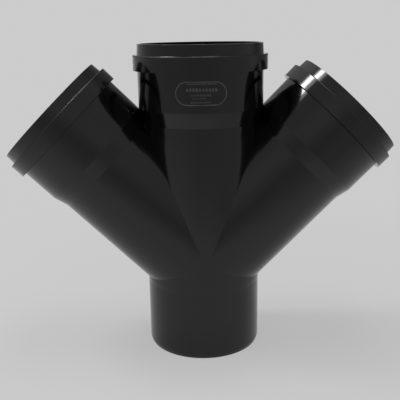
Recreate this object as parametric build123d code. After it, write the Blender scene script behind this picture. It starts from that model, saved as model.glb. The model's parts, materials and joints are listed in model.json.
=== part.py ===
from build123d import *
import os
from math import cos, radians, sin, tan

# Double 45 degree branch fitting for 110 mm drainage pipe, in millimetres and degrees.
# The run stands on Z. Its plain spigot is below and a ring-seal socket is above. One more
# socket leans out on each side in the XZ plane, and all the axes meet in one point.
# The origin is the centre of the spigot's end face.

# Pipe, and the body's tubes, which are a little larger
branch_angle = 45.0
pipe_radius = 55.0
pipe_wall = 3.0
body_oversize = 0.6

# Spigot: the plain end, which enters the socket below it, with a shoulder up to the body
spigot_length = 69.55
spigot_shoulder_height = 4.0
spigot_chamfer_height = 3.45
spigot_chamfer_angle = 15.0

# Socket wall, from the taper to the bead
socket_clearance = 0.3
socket_wall = 3.4
socket_gap = 0.55
taper_length = 13.6
pocket_length = 34.4

# Bead: the square ring that houses the seal's groove
bead_width = 13.7
bead_wall = 3.1
bead_side_wall = 2.3
groove_depth = 4.3

# Collar: the short mouth between the bead and the rim
collar_length = 9.9
collar_clearance = 0.8
collar_wall = 3.1
collar_draft_angle = 3.5

# Broken outer edges of the bead
edge_bevel = 0.5

# Lip seal, pressed back as a pipe holds it
seal_clearance = 0.1
seal_heel_depth = 2.6
lip_clearance = 0.1

# Radii that follow from the pipe
tube_bore_radius = pipe_radius - pipe_wall
tube_radius = pipe_radius + body_oversize
spigot_end_radius = pipe_radius - spigot_chamfer_height * tan(radians(spigot_chamfer_angle))
socket_bore_radius = pipe_radius + socket_clearance
pocket_radius = socket_bore_radius + socket_wall
groove_radius = socket_bore_radius + groove_depth
bead_radius = groove_radius + bead_wall
collar_bore_radius = pipe_radius + collar_clearance
collar_root_radius = collar_bore_radius + collar_wall
rim_radius = collar_root_radius - collar_length * tan(radians(collar_draft_angle))

# Levels along a socket's axis, from the point where the axes meet. Neighbouring sockets
# start as near to that point as the gap between them allows.
half_angle = radians(branch_angle / 2)
pocket_start = (socket_gap / 2 + pocket_radius * cos(half_angle)) / sin(half_angle)
taper_start = pocket_start - taper_length
bead_start = pocket_start + pocket_length
bead_end = bead_start + bead_width
rim = bead_end + collar_length
groove_start = bead_start + bead_side_wall
groove_end = bead_end - bead_side_wall

# The branches leave the run's sides at the top of the spigot.
crotch = tube_radius * tan(half_angle)
spigot_reach = crotch + spigot_length
meeting_point = Location((0, 0, spigot_reach))


def ring(corners, bevelled=()):
    """Revolve a closed outline about Z. Its corners, and those to bevel, are (radius, level)."""
    outline = make_face(Polyline(*corners, close=True))
    for corner in bevelled:
        outline = chamfer(outline.vertices().sort_by_distance((*corner, 0))[0], edge_bevel)
    return revolve(Plane.XZ * outline, Axis.Z)


def direction(angle):
    """Unit vector in the XZ plane, leaning from +Z towards +X by an angle."""
    return Vector(sin(radians(angle)), 0, cos(radians(angle)))


def lean(solid, angle):
    """Turn a solid made on the Z axis so that it lies along an arm of the fitting."""
    return Rot(0, angle, 0) * solid


def mitred(arm, angle, neighbour_angles):
    """Cut an arm on the planes halfway between it and its neighbours."""
    for neighbour_angle in neighbour_angles:
        facing = direction(angle) - direction(neighbour_angle)
        arm = split(arm, bisect_by=Plane(origin=(0, 0, 0), z_dir=facing), keep=Keep.TOP)
    return arm


def spigot_arm():
    """Tube, shoulder and plain end with its chamfer, from the meeting point outwards."""
    return ring([
        (tube_bore_radius, 0),
        (tube_radius, 0),
        (tube_radius, crotch),
        (pipe_radius, crotch + spigot_shoulder_height),
        (pipe_radius, spigot_reach - spigot_chamfer_height),
        (spigot_end_radius, spigot_reach),
        (tube_bore_radius, spigot_reach),
    ])


def socket_arm():
    """Tube, taper, pocket, bead and collar, from the meeting point outwards."""
    bead_edges = [(bead_radius, bead_start), (bead_radius, bead_end)]
    outline = [
        (tube_bore_radius, 0),
        (tube_radius, 0),
        (tube_radius, taper_start),
        (pocket_radius, pocket_start),
        (pocket_radius, bead_start),
        *bead_edges,
        (collar_root_radius, bead_end),
        (rim_radius, rim),
        (collar_bore_radius, rim),
        (collar_bore_radius, groove_end),
        (groove_radius, groove_end),
        (groove_radius, groove_start),
        (socket_bore_radius, groove_start),
        (socket_bore_radius, pocket_start),
        (tube_bore_radius, taper_start),
    ]
    return ring(outline, bevelled=bead_edges)


def seal():
    """Rubber ring: a heel that fills the groove, and a face that slopes inwards to its lip."""
    heel_radius = groove_radius - seal_clearance
    heel_bore_radius = heel_radius - seal_heel_depth
    lip_radius = pipe_radius + lip_clearance
    return ring([
        (heel_radius, groove_start),
        (heel_radius, groove_end),
        (heel_bore_radius, groove_end),
        (lip_radius, groove_start),
    ])


# Arms of the moulding, by the angle at which each leaves the meeting point
arm_angles = {"top": 0.0, "right": branch_angle, "left": -branch_angle}
spigot_angle = 180.0
neighbours = {
    "top": [arm_angles["left"], arm_angles["right"]],
    "right": [arm_angles["top"], spigot_angle],
    "left": [arm_angles["top"], spigot_angle],
}

fitting_body = mitred(
    lean(spigot_arm(), spigot_angle),
    spigot_angle,
    [arm_angles["left"], arm_angles["right"]],
)
for name, angle in arm_angles.items():
    fitting_body += mitred(lean(socket_arm(), angle), angle, neighbours[name])

parts = {"fitting_body": fitting_body}
for name, angle in arm_angles.items():
    parts[name + "_seal"] = lean(seal(), angle)

os.makedirs("parts", exist_ok=True)
for name, part in parts.items():
    export_step(meeting_point * part, "parts/" + name + ".step")
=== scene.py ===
import json
from math import atan2, cos, pi, radians, sin, tan

import bmesh
import bpy
from mathutils import Matrix, Vector


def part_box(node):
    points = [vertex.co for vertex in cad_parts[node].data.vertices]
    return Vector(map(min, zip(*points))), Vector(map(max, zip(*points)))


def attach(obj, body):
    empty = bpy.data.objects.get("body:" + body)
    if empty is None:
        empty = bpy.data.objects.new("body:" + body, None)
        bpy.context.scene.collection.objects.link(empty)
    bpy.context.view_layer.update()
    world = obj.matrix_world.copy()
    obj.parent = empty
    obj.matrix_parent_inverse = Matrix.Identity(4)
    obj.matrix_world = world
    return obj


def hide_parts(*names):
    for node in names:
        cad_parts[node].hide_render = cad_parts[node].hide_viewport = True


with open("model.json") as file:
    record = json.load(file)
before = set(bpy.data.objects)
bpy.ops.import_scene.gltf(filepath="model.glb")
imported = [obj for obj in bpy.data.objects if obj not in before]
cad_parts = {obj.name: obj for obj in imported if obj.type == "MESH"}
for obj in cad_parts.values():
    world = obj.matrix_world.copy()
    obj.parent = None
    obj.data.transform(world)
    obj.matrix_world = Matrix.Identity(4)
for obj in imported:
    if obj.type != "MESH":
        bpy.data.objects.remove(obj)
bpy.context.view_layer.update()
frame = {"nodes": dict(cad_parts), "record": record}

# Looks of a double 45 degree branch fitting in black moulded plastic, in metres and radians.
# The run stands on Z and the branches lean out in the XZ plane.

MM = 0.001


def mount(name):
    """One of the record's mounts: its place, its axis and its sizes."""
    return next(entry for entry in frame["record"]["mounts"] if entry["name"] == name)


# Sizes that the frame gives
spigot = mount("spigot")
top_socket = mount("top_socket")
right_socket = mount("right_socket")
pipe_radius = spigot["dims"]["r_mm"] * MM
socket_bore_radius = top_socket["dims"]["r_mm"] * MM
branch_angle = atan2(right_socket["axis"][0], right_socket["axis"][2])
half_angle = branch_angle / 2
right_x, right_z = right_socket["pos_m"][0], right_socket["pos_m"][2]
spigot_reach = right_z - right_x / tan(branch_angle)
meeting_point = Vector((0, 0, spigot_reach))
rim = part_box("fitting_body")[1].z - spigot_reach

# Sizes of the moulding's wall, as in the solids
tube_bore_radius = pipe_radius - 3.0 * MM
tube_radius = pipe_radius + 0.6 * MM
pocket_radius = socket_bore_radius + 3.4 * MM
groove_radius = socket_bore_radius + 4.3 * MM
bead_radius = groove_radius + 3.1 * MM
collar_bore_radius = pipe_radius + 0.8 * MM
collar_root_radius = collar_bore_radius + 3.1 * MM
collar_length = 9.9 * MM
collar_draft = radians(3.5)
rim_radius = collar_root_radius - collar_length * tan(collar_draft)
bead_width = 13.7 * MM
bead_side_wall = 2.3 * MM
pocket_length = 34.4 * MM
taper_length = 13.6 * MM
spigot_shoulder_height = 4.0 * MM
spigot_chamfer_height = 3.45 * MM
spigot_chamfer = radians(15)

bead_end = rim - collar_length
bead_start = bead_end - bead_width
pocket_start = bead_start - pocket_length
taper_start = pocket_start - taper_length
groove_start = bead_start + bead_side_wall
groove_end = bead_end - bead_side_wall
crotch = tube_radius * tan(half_angle)
spigot_end_radius = pipe_radius - spigot_chamfer_height * tan(spigot_chamfer)

# Rounded edges: the bead's upper one is the softest, and its lower one is as crisp as the rim
BEAD_ROUND = 0.85 * MM
FINE_ROUND = 0.12 * MM
ROOT_ROUND = 0.3 * MM
BEND_ROUND = 2.0 * MM
LIP_ROUND = 0.3 * MM
ROUND_STEPS = 5

# Fine crease where the pocket meets the bead
CREASE = 0.2 * MM

# A narrow row beside each rounding, so that the walls between them shade true
WALL_MARGIN = 0.05 * MM

# Columns round each arm, the angle over which an edge stays crisp, and how near counts as the
# same place when the arms are cut, marked and joined
COLUMNS = 240
CRISP_ANGLE = radians(28)
CUT_NEARNESS = 1e-7
ON_MITRE_NEARNESS = 1e-6
JOIN_NEARNESS = 2e-6

# The place of the rubbed plastic among the moulding's materials, after the glossy one
RUBBED = 1

# Raised oval and blocks on the top pocket, by arc length from the front and level along its axis
MARK_HEIGHT = 0.4 * MM
MARK_SLOPE = 0.35 * MM
MARK_SUNK = 0.1 * MM
OVAL_STEPS = 24
BLOCK_SHARE = 0.74

# The oval's middle, as arc length and level, then its width and height
BORDER = (-2.9 * MM, 159.7 * MM, 45.6 * MM, 20.7 * MM)

# Each row's level, the arc lengths where it starts and ends, its height and its count of blocks
MARK_ROWS = [
    (168.0 * MM, -14.8 * MM, 10.9 * MM, 1.6 * MM, 13),
    (162.8 * MM, -15.8 * MM, 11.7 * MM, 3.0 * MM, 10),
    (158.3 * MM, -12.4 * MM, 6.4 * MM, 1.8 * MM, 9),
    (155.5 * MM, -11.0 * MM, 2.0 * MM, 1.1 * MM, 7),
    (152.2 * MM, -12.0 * MM, 6.0 * MM, 1.4 * MM, 10),
]


def rounded(corners):
    """An open outline of (radius, level) points from (radius, level, rounding) corners."""
    points = []
    for index, (radius, level, rounding) in enumerate(corners):
        corner = Vector((radius, level))
        if not rounding:
            points.append(corner)
            continue
        before = (Vector(corners[index - 1][:2]) - corner).normalized()
        after = (Vector(corners[index + 1][:2]) - corner).normalized()
        half_opening = before.angle(after) / 2
        centre = corner + (before + after).normalized() * rounding / sin(half_opening)
        reach = rounding / tan(half_opening)
        start = corner + before * reach - centre
        end = corner + after * reach - centre
        turn = start.angle_signed(end)
        points.append(corner + before * (reach + WALL_MARGIN))
        for step in range(ROUND_STEPS + 1):
            angle = -turn * step / ROUND_STEPS
            swung = Vector((
                start.x * cos(angle) - start.y * sin(angle),
                start.x * sin(angle) + start.y * cos(angle),
            ))
            points.append(centre + swung)
        points.append(corner + after * (reach + WALL_MARGIN))
    return points


def socket_outlines():
    """The socket arm's outside and inside, from the meeting point to the rim and back."""
    return rounded([
        (tube_radius, 0, 0),
        (tube_radius, taper_start, BEND_ROUND),
        (pocket_radius, pocket_start, BEND_ROUND),
        (pocket_radius, bead_start - CREASE, 0),
        (pocket_radius - CREASE, bead_start, 0),
        (bead_radius, bead_start, FINE_ROUND),
        (bead_radius, bead_end, BEAD_ROUND),
        (collar_root_radius, bead_end, ROOT_ROUND),
        (rim_radius, rim, FINE_ROUND),
        (collar_bore_radius, rim, FINE_ROUND),
        (collar_bore_radius, groove_end, LIP_ROUND),
        (groove_radius, groove_end, 0),
        (groove_radius, groove_start, 0),
        (socket_bore_radius, groove_start, LIP_ROUND),
        (socket_bore_radius, pocket_start, BEND_ROUND),
        (tube_bore_radius, taper_start, BEND_ROUND),
        (tube_bore_radius, 0, 0),
    ])


def spigot_outlines():
    """The spigot arm's outside and inside, from the meeting point to its end face and back."""
    return rounded([
        (tube_radius, 0, 0),
        (tube_radius, crotch, 0),
        (pipe_radius, crotch + spigot_shoulder_height, BEND_ROUND),
        (pipe_radius, spigot_reach - spigot_chamfer_height, LIP_ROUND),
        (spigot_end_radius, spigot_reach, LIP_ROUND),
        (tube_bore_radius, spigot_reach, LIP_ROUND),
        (tube_bore_radius, 0, 0),
    ])


def direction(angle):
    """Unit vector in the XZ plane, leaning from +Z towards +X by an angle."""
    return Vector((sin(angle), 0, cos(angle)))


def add_arm(whole, outline, angle, neighbour_angles):
    """Turn an outline about Z, lean it along its arm, and mitre it against its neighbours."""
    arm = bmesh.new()
    rows = []
    for radius, level in outline:
        rows.append([
            arm.verts.new((
                radius * cos(2 * pi * column / COLUMNS),
                radius * sin(2 * pi * column / COLUMNS),
                level,
            ))
            for column in range(COLUMNS)
        ])
    for lower, upper in zip(rows, rows[1:]):
        for column in range(COLUMNS):
            following = (column + 1) % COLUMNS
            arm.faces.new((lower[column], lower[following], upper[following], upper[column]))
    bmesh.ops.rotate(arm, verts=arm.verts, matrix=Matrix.Rotation(angle, 3, "Y"))
    for neighbour_angle in neighbour_angles:
        bmesh.ops.bisect_plane(
            arm,
            geom=arm.verts[:] + arm.edges[:] + arm.faces[:],
            dist=CUT_NEARNESS,
            plane_co=(0, 0, 0),
            plane_no=direction(angle) - direction(neighbour_angle),
            clear_inner=True,
        )
    mesh = bpy.data.meshes.new("arm")
    arm.to_mesh(mesh)
    arm.free()
    whole.from_mesh(mesh)
    bpy.data.meshes.remove(mesh)


def mark_sharp(whole, mitres):
    """Keep the mitred lines and the square corners crisp, and everything else smooth."""
    for face in whole.faces:
        face.smooth = True
    for edge in whole.edges:
        on_mitre = any(
            all(abs(vertex.co.dot(normal)) < ON_MITRE_NEARNESS for vertex in edge.verts)
            for normal in mitres
        )
        square = len(edge.link_faces) == 2 and edge.calc_face_angle() > CRISP_ANGLE
        edge.smooth = not (on_mitre or square)


def mark_rubbed(whole, socket_angles):
    """Give the rounding of each bead's upper edge the rubbed material."""
    for face in whole.faces:
        centre = face.calc_center_median()
        for angle in socket_angles:
            level = centre.dot(direction(angle))
            radius = (centre - direction(angle) * level).length
            if abs(level - bead_end) < BEAD_ROUND and radius > bead_radius - BEAD_ROUND:
                face.material_index = RUBBED


def build_body():
    """The moulding: one arm for the spigot and one for each socket, joined at their mitres."""
    left, top, right, down = -branch_angle, 0.0, branch_angle, pi
    whole = bmesh.new()
    add_arm(whole, spigot_outlines(), down, [left, right])
    add_arm(whole, socket_outlines(), top, [left, right])
    add_arm(whole, socket_outlines(), left, [top, down])
    add_arm(whole, socket_outlines(), right, [top, down])
    bmesh.ops.remove_doubles(whole, verts=whole.verts, dist=JOIN_NEARNESS)
    bmesh.ops.recalc_face_normals(whole, faces=whole.faces)
    pairs = ((left, top), (top, right), (right, down), (down, left))
    mitres = [(direction(one) - direction(other)).normalized() for one, other in pairs]
    mark_sharp(whole, mitres)
    mark_rubbed(whole, (left, top, right))
    bmesh.ops.translate(whole, verts=whole.verts, vec=meeting_point)
    mesh = bpy.data.meshes.new("fitting_moulding")
    whole.to_mesh(mesh)
    whole.free()
    body = bpy.data.objects.new("fitting_moulding", mesh)
    bpy.context.scene.collection.objects.link(body)
    return body


def on_pocket(arc, level, height):
    """A place on the front of the top pocket, by arc length and level, raised by a height."""
    radius = pocket_radius + height
    turn = arc / pocket_radius
    return Vector((radius * sin(turn), -radius * cos(turn), spigot_reach + level))


def oval(arc, level, width, height):
    """Points round an oval with straight sides and half-round ends, as (arc, level) pairs."""
    end_radius = height / 2
    straight = width / 2 - end_radius
    points = []
    for side in (1, -1):
        for step in range(OVAL_STEPS):
            along = straight * (1 - 2 * step / OVAL_STEPS)
            points.append((arc + side * along, level + side * end_radius))
        for step in range(OVAL_STEPS):
            angle = pi / 2 + pi * step / OVAL_STEPS
            points.append((
                arc + side * (-straight + end_radius * cos(angle)),
                level + side * end_radius * sin(angle),
            ))
    return points


def raise_border(relief, arc, level, width, height):
    """A thin raised line round an oval field, closed all round."""
    loops = []
    for inset, raised in ((0, -MARK_SUNK), (1, MARK_HEIGHT), (2, MARK_HEIGHT), (3, -MARK_SUNK)):
        narrower = 2 * inset * MARK_SLOPE
        loops.append([
            relief.verts.new(on_pocket(*point, raised))
            for point in oval(arc, level, width - narrower, height - narrower)
        ])
    for outer, inner in zip(loops, loops[1:] + loops[:1]):
        for index, vertex in enumerate(outer):
            following = (index + 1) % len(outer)
            relief.faces.new((vertex, outer[following], inner[following], inner[index]))


def raise_block(relief, start, end, bottom, top):
    """A plain raised block with sloping sides."""
    slope = MARK_SLOPE

    def corners(left, right, low, high, height):
        places = ((left, low), (right, low), (right, high), (left, high))
        return [relief.verts.new(on_pocket(*place, height)) for place in places]

    foot = corners(start, end, bottom, top, -MARK_SUNK)
    head = corners(start + slope, end - slope, bottom + slope, top - slope, MARK_HEIGHT)
    relief.faces.new(head)
    relief.faces.new(foot)
    for index in range(4):
        following = (index + 1) % 4
        relief.faces.new((foot[index], foot[following], head[following], head[index]))


def build_marks():
    """A raised oval on the top pocket, with rows of plain blocks inside it."""
    relief = bmesh.new()
    raise_border(relief, *BORDER)
    for level, start, end, height, count in MARK_ROWS:
        pitch = (end - start) / count
        for index in range(count):
            left = start + index * pitch
            right = left + BLOCK_SHARE * pitch
            raise_block(relief, left, right, level - height / 2, level + height / 2)
    bmesh.ops.recalc_face_normals(relief, faces=relief.faces)
    mesh = bpy.data.meshes.new("moulded_marks")
    relief.to_mesh(mesh)
    relief.free()
    marks = bpy.data.objects.new("moulded_marks", mesh)
    bpy.context.scene.collection.objects.link(marks)
    return marks


# The range that most of a noise's values lie in
NOISE_LOW = 0.3
NOISE_HIGH = 0.7

# How strongly the plastic bends light
PLASTIC_IOR = 1.5


def new_material(name):
    """A node material with its shader and output joined, and nothing else."""
    material = bpy.data.materials.new(name)
    material.use_nodes = True
    nodes = material.node_tree.nodes
    nodes.clear()
    output = nodes.new("ShaderNodeOutputMaterial")
    shader = nodes.new("ShaderNodeBsdfPrincipled")
    material.node_tree.links.new(shader.outputs["BSDF"], output.inputs["Surface"])
    return material, nodes, material.node_tree.links, shader


def noise(nodes, links, place, scale, detail=2.0):
    """Noise of a given scale, in waves a metre, at an object's own place."""
    texture = nodes.new("ShaderNodeTexNoise")
    texture.inputs["Scale"].default_value = scale
    texture.inputs["Detail"].default_value = detail
    links.new(place.outputs["Object"], texture.inputs["Vector"])
    return texture


def spread(nodes, links, source, low, high):
    """A texture's value, spread between a low and a high figure."""
    mapped = nodes.new("ShaderNodeMapRange")
    mapped.inputs["From Min"].default_value = NOISE_LOW
    mapped.inputs["From Max"].default_value = NOISE_HIGH
    mapped.inputs["To Min"].default_value = low
    mapped.inputs["To Max"].default_value = high
    links.new(source.outputs["Fac"], mapped.inputs["Value"])
    return mapped


def bump(nodes, links, shader, source, height):
    """A relief of a given height, in metres, from a texture."""
    relief = nodes.new("ShaderNodeBump")
    relief.inputs["Strength"].default_value = 1.0
    relief.inputs["Distance"].default_value = height
    links.new(source.outputs["Fac"], relief.inputs["Height"])
    links.new(relief.outputs["Normal"], shader.inputs["Normal"])


def mottle(nodes, links, shader, source, low, high):
    """A base colour that drifts between two near colours."""
    ramp = nodes.new("ShaderNodeValToRGB")
    ends = ((NOISE_LOW, low), (NOISE_HIGH, high))
    for element, (position, colour) in zip(ramp.color_ramp.elements, ends):
        element.position = position
        element.color = (*colour, 1)
    links.new(source.outputs["Fac"], ramp.inputs["Fac"])
    links.new(ramp.outputs["Color"], shader.inputs["Base Color"])


def black_plastic(name, low, high):
    """Black plastic straight from a mould, with its roughness between two figures."""
    material, nodes, links, shader = new_material(name)
    shader.inputs["IOR"].default_value = PLASTIC_IOR
    place = nodes.new("ShaderNodeTexCoord")
    cloud = noise(nodes, links, place, scale=18.0)
    darker, lighter = (0.0016, 0.0016, 0.0018), (0.0026, 0.0026, 0.0028)
    mottle(nodes, links, shader, cloud, darker, lighter)
    sheen = noise(nodes, links, place, scale=45.0, detail=4.0)
    roughness = spread(nodes, links, sheen, low, high)
    links.new(roughness.outputs["Result"], shader.inputs["Roughness"])
    peel = noise(nodes, links, place, scale=260.0, detail=1.0)
    bump(nodes, links, shader, peel, height=0.004 * MM)
    return material


def painted_sheen_plastic():
    """The same plastic in a lighter dark grey for the raised marks: a painted sheen that stands
    in for the light they catch.
    """
    material, nodes, links, shader = new_material("painted_sheen_black_plastic")
    shader.inputs["IOR"].default_value = PLASTIC_IOR
    place = nodes.new("ShaderNodeTexCoord")
    cloud = noise(nodes, links, place, scale=90.0)
    # A dark grey well above the moulding's black, as painted sheen on the marks
    darker, lighter = (0.060, 0.060, 0.060), (0.100, 0.100, 0.100)
    mottle(nodes, links, shader, cloud, darker, lighter)
    sheen = noise(nodes, links, place, scale=400.0, detail=3.0)
    roughness = spread(nodes, links, sheen, low=0.30, high=0.45)
    links.new(roughness.outputs["Result"], shader.inputs["Roughness"])
    bump(nodes, links, shader, sheen, height=0.01 * MM)
    return material


def seal_rubber():
    """Matt black rubber with a fine grain."""
    material, nodes, links, shader = new_material("seal_rubber")
    place = nodes.new("ShaderNodeTexCoord")
    cloud = noise(nodes, links, place, scale=60.0)
    darker, lighter = (0.012, 0.012, 0.012), (0.020, 0.020, 0.021)
    mottle(nodes, links, shader, cloud, darker, lighter)
    grain = noise(nodes, links, place, scale=900.0, detail=3.0)
    roughness = spread(nodes, links, grain, low=0.50, high=0.65)
    links.new(roughness.outputs["Result"], shader.inputs["Roughness"])
    bump(nodes, links, shader, grain, height=0.03 * MM)
    return material


# The fitting
body = build_body()
body.data.materials.append(black_plastic("black_gloss_plastic", low=0.09, high=0.14))
body.data.materials.append(black_plastic("rubbed_black_plastic", low=0.30, high=0.38))
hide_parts("fitting_body")
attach(body, "root")

marks = build_marks()
marks.data.materials.append(painted_sheen_plastic())
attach(marks, "root")

rubber = seal_rubber()
for name in ("top_seal", "left_seal", "right_seal"):
    seal = frame["nodes"][name]
    seal.data.materials.clear()
    seal.data.materials.append(rubber)


# Camera, as it stood for the photograph: its place in metres, and its turn to the right, its
# downward tilt and its roll in radians
CAMERA_PLACE = Vector((-0.03275, -0.6012, spigot_reach + 0.2143))
CAMERA_TURN = 0.0506
CAMERA_TILT = 0.2659
CAMERA_ROLL = -0.0158
CAMERA_VIEW = radians(35.0)
CAMERA_NEAREST = 0.01

# Studio: the grey of the pale sweep behind the fitting, in a darker room
BACKDROP = 0.604

# Floor: its paint's grey, the share of it that glows with the sweep's grey, the distances from
# the fitting between which it fades into the room, and its size
FLOOR_COLOUR = 0.62
FLOOR_GLOW = 0.7
FLOOR_FADE = (0.22, 0.6)
FLOOR_RADIUS = 12.0
FLOOR_SIDES = 96

# The height from which the room's tones are laid out on the floor
EYE_LEVEL = 0.15

# How each side's tones give way to the next side's, by a direction's part along X or Y
TOWARDS_LEFT = (-0.1, -0.7)
TOWARDS_RIGHT = (0.1, 0.7)
BACK_LEFT_TO_RIGHT = (-0.2, 0.2)
FRONT_TO_BACK = (0.0, 0.5)

# Where the pale sweep shows. It stands still in the room, where the photograph's camera saw it:
# by the heading from that place, the distance in front of it, and how low a direction points.
SWEEP_HEADING = (0.88, 0.94)
SWEEP_DISTANCE = (0.10, 0.45)
SWEEP_TOP = (0.13, 0.07)

# The room's tone to each side, as pairs of a direction's part along Z and a grey
FRONT_TONES = [
    (-0.85, 0.75), (-0.66, 0.62), (-0.45, 0.57), (-0.33, 0.50), (-0.25, 0.46), (-0.15, 0.39),
    (-0.03, 0.345), (0.05, 0.345), (0.17, 0.39), (0.32, 0.49), (0.50, 0.50), (0.70, 0.44),
]
LEFT_TONES = [
    (-0.85, 0.95), (-0.66, 0.95), (-0.50, 0.75), (-0.33, 0.64), (-0.25, 0.55),
    (-0.15, 0.47), (-0.05, 0.38), (0.10, 0.38), (0.30, 0.48), (0.50, 0.50), (0.65, 0.41),
]
RIGHT_TONES = [
    (-0.85, 0.50), (-0.68, 0.58), (-0.58, 0.65), (-0.45, 0.32), (-0.35, 0.40), (-0.25, 0.39),
    (0.00, 0.40), (0.20, 0.44), (0.50, 0.46), (0.80, 0.43),
]
BACK_LEFT_TONES = [
    (-0.85, 0.75), (-0.60, 0.75), (-0.45, 0.52), (-0.33, 0.56), (-0.05, 0.45),
    (0.10, 0.28), (0.20, 0.27), (0.32, 0.34), (0.50, 0.45), (0.70, 0.70),
]
BACK_RIGHT_TONES = [
    (-0.85, 0.45), (-0.55, 0.65), (-0.45, 0.28), (-0.35, 0.38), (-0.05, 0.16),
    (0.10, 0.12), (0.60, 0.16), (0.80, 0.25),
]


def curve(nodes, links, source, points):
    """A tone looked up along straight lines between points."""
    ramp = nodes.new("ShaderNodeValToRGB")
    first, last = points[0][0], points[-1][0]
    elements = ramp.color_ramp.elements
    while len(elements) < len(points):
        elements.new(0.5)
    for element, (place, tone) in zip(elements, points):
        element.position = (place - first) / (last - first)
        element.color = (tone, tone, tone, 1)
    span = nodes.new("ShaderNodeMapRange")
    span.inputs["From Min"].default_value = first
    span.inputs["From Max"].default_value = last
    links.new(source, span.inputs["Value"])
    links.new(span.outputs["Result"], ramp.inputs["Fac"])
    return ramp.outputs["Color"]


def ease(nodes, links, source, ends):
    """A smooth step from 0 at the first end to 1 at the second."""
    step = nodes.new("ShaderNodeMapRange")
    step.interpolation_type = "SMOOTHSTEP"
    rising = ends[1] > ends[0]
    step.inputs["From Min"].default_value = min(ends)
    step.inputs["From Max"].default_value = max(ends)
    step.inputs["To Min"].default_value = 0.0 if rising else 1.0
    step.inputs["To Max"].default_value = 1.0 if rising else 0.0
    links.new(source, step.inputs["Value"])
    return step.outputs["Result"]


def blend(nodes, links, share, one, other):
    """One tone or another, by a share."""
    mix = nodes.new("ShaderNodeMix")
    mix.data_type = "RGBA"
    links.new(share, mix.inputs["Factor"])
    links.new(one, mix.inputs["A"])
    links.new(other, mix.inputs["B"])
    return mix.outputs["Result"]


def axes_of(nodes, links, vector):
    """A vector's parts along X, Y and Z."""
    split = nodes.new("ShaderNodeSeparateXYZ")
    links.new(vector, split.inputs["Vector"])
    return split.outputs


def direction_of(nodes, links, vector, flat=False):
    """The parts along X, Y and Z of a vector's direction, or of its direction on the floor."""
    if flat:
        level = nodes.new("ShaderNodeVectorMath")
        level.operation = "MULTIPLY"
        level.inputs[1].default_value = (1, 1, 0)
        links.new(vector, level.inputs[0])
        vector = level.outputs["Vector"]
    unit = nodes.new("ShaderNodeVectorMath")
    unit.operation = "NORMALIZE"
    links.new(vector, unit.inputs[0])
    return axes_of(nodes, links, unit.outputs["Vector"])


def product(nodes, links, one, other):
    """One share of another."""
    times = nodes.new("ShaderNodeMath")
    times.operation = "MULTIPLY"
    links.new(one, times.inputs[0])
    links.new(other, times.inputs[1])
    return times.outputs["Value"]


def room_tone(nodes, links, looking, from_camera):
    """The room's tone along a direction, with the pale sweep that the photograph shows."""
    along = direction_of(nodes, links, looking)
    front, left, right, back_left, back_right = (
        curve(nodes, links, along["Z"], tones)
        for tones in (FRONT_TONES, LEFT_TONES, RIGHT_TONES, BACK_LEFT_TONES, BACK_RIGHT_TONES)
    )
    with_left = blend(
        nodes, links, ease(nodes, links, along["X"], TOWARDS_LEFT), front, left,
    )
    with_right = blend(
        nodes, links, ease(nodes, links, along["X"], TOWARDS_RIGHT), with_left, right,
    )
    behind = blend(
        nodes, links, ease(nodes, links, along["X"], BACK_LEFT_TO_RIGHT), back_left, back_right,
    )
    room = blend(
        nodes, links, ease(nodes, links, along["Y"], FRONT_TO_BACK), with_right, behind,
    )
    sweep = nodes.new("ShaderNodeRGB")
    sweep.outputs["Color"].default_value = (BACKDROP,) * 3 + (1,)
    heading = direction_of(nodes, links, from_camera, flat=True)
    reach = axes_of(nodes, links, from_camera)
    within = product(
        nodes, links,
        ease(nodes, links, heading["Y"], SWEEP_HEADING),
        ease(nodes, links, reach["Y"], SWEEP_DISTANCE),
    )
    seen = product(nodes, links, within, ease(nodes, links, along["Z"], SWEEP_TOP))
    return blend(nodes, links, seen, room, sweep.outputs["Color"])


def shifted(nodes, links, vector, offset):
    """A vector less a fixed offset."""
    less = nodes.new("ShaderNodeVectorMath")
    less.operation = "SUBTRACT"
    less.inputs[1].default_value = offset
    links.new(vector, less.inputs[0])
    return less.outputs["Vector"]


def floor_material():
    """Pale paint near the fitting, which keeps its shadow, and the room's tone further out."""
    material = bpy.data.materials.new("pale_floor")
    material.use_nodes = True
    nodes = material.node_tree.nodes
    links = material.node_tree.links
    nodes.clear()
    output = nodes.new("ShaderNodeOutputMaterial")
    paint = nodes.new("ShaderNodeBsdfDiffuse")
    paint.inputs["Color"].default_value = (FLOOR_COLOUR,) * 3 + (1,)
    glow = nodes.new("ShaderNodeEmission")
    glow.inputs["Color"].default_value = (BACKDROP,) * 3 + (1,)
    near = nodes.new("ShaderNodeMixShader")
    near.inputs["Fac"].default_value = FLOOR_GLOW
    links.new(paint.outputs["BSDF"], near.inputs[1])
    links.new(glow.outputs["Emission"], near.inputs[2])
    place = nodes.new("ShaderNodeTexCoord").outputs["Object"]
    far = nodes.new("ShaderNodeEmission")
    tone = room_tone(
        nodes, links,
        shifted(nodes, links, place, (0, 0, EYE_LEVEL)),
        shifted(nodes, links, place, CAMERA_PLACE),
    )
    links.new(tone, far.inputs["Color"])
    distance = nodes.new("ShaderNodeVectorMath")
    distance.operation = "LENGTH"
    links.new(place, distance.inputs[0])
    mix = nodes.new("ShaderNodeMixShader")
    faded = ease(nodes, links, distance.outputs["Value"], FLOOR_FADE)
    links.new(faded, mix.inputs["Fac"])
    links.new(near.outputs["Shader"], mix.inputs[1])
    links.new(far.outputs["Emission"], mix.inputs[2])
    links.new(mix.outputs["Shader"], output.inputs["Surface"])
    return material


def build_floor():
    """A round floor under the fitting."""
    disc = bmesh.new()
    bmesh.ops.create_circle(disc, cap_ends=True, segments=FLOOR_SIDES, radius=FLOOR_RADIUS)
    mesh = bpy.data.meshes.new("floor")
    disc.to_mesh(mesh)
    disc.free()
    mesh.materials.append(floor_material())
    floor = bpy.data.objects.new("floor", mesh)
    bpy.context.scene.collection.objects.link(floor)


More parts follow.
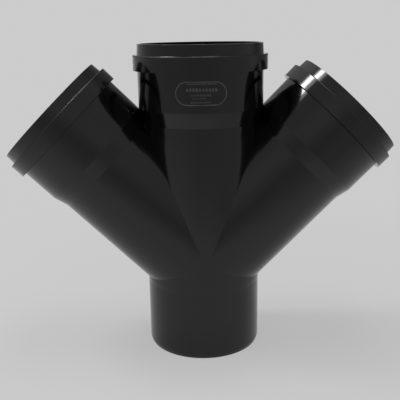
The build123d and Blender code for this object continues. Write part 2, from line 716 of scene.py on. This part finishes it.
def build_world():
    """The room all round."""
    world = bpy.data.worlds.new("studio")
    bpy.context.scene.world = world
    world.use_nodes = True
    nodes = world.node_tree.nodes
    links = world.node_tree.links
    looking = nodes.new("ShaderNodeTexCoord").outputs["Generated"]
    tone = room_tone(nodes, links, looking, looking)
    links.new(tone, nodes["Background"].inputs["Color"])


def softbox(name, towards, distance, target, long_side, length, width, radiance):
    """A rectangular lamp in a direction from its target, with its length along the long side."""
    data = bpy.data.lights.new(name, "AREA")
    data.shape = "RECTANGLE"
    data.size = length
    data.size_y = width
    data.energy = radiance * pi * length * width
    lamp = bpy.data.objects.new(name, data)
    bpy.context.scene.collection.objects.link(lamp)
    back = Vector(towards).normalized()
    across = back.cross(Vector(long_side)).normalized()
    along = across.cross(back)
    facing = Matrix((along, across, back)).transposed().to_4x4()
    lamp.matrix_world = Matrix.Translation(Vector(target) + back * distance) @ facing


build_floor()
build_world()

# The key lamp and a wider, weaker glow round it light the right socket from the upper left,
# and a large lamp hangs over the fitting.
right_bead = (0.1055, -0.034, 0.265)
run_top = (0, 0, 0.25)
softbox(
    "key", towards=(-0.581, 0.141, 0.801), distance=1.6, target=right_bead,
    long_side=(0.77, 0, 0.63), length=0.36, width=0.28, radiance=21.0,
)
softbox(
    "glow", towards=(-0.583, 0.110, 0.802), distance=1.65, target=right_bead,
    long_side=(0.77, 0, 0.63), length=0.70, width=0.60, radiance=3.0,
)
softbox(
    "overhead", towards=(0.08, 0.0, 1.0), distance=1.7, target=run_top,
    long_side=(1, 0, 0), length=0.80, width=0.80, radiance=4.5,
)


lens = bpy.data.cameras.new("camera")
lens.angle = CAMERA_VIEW
lens.clip_start = CAMERA_NEAREST
camera = bpy.data.objects.new("camera", lens)
bpy.context.scene.collection.objects.link(camera)
camera.matrix_world = (
    Matrix.Translation(CAMERA_PLACE)
    @ Matrix.Rotation(-CAMERA_TURN, 4, "Z")
    @ Matrix.Rotation(pi / 2 - CAMERA_TILT, 4, "X")
    @ Matrix.Rotation(CAMERA_ROLL, 4, "Z")
)
bpy.context.scene.camera = camera
bpy.context.scene.view_settings.view_transform = "Standard"
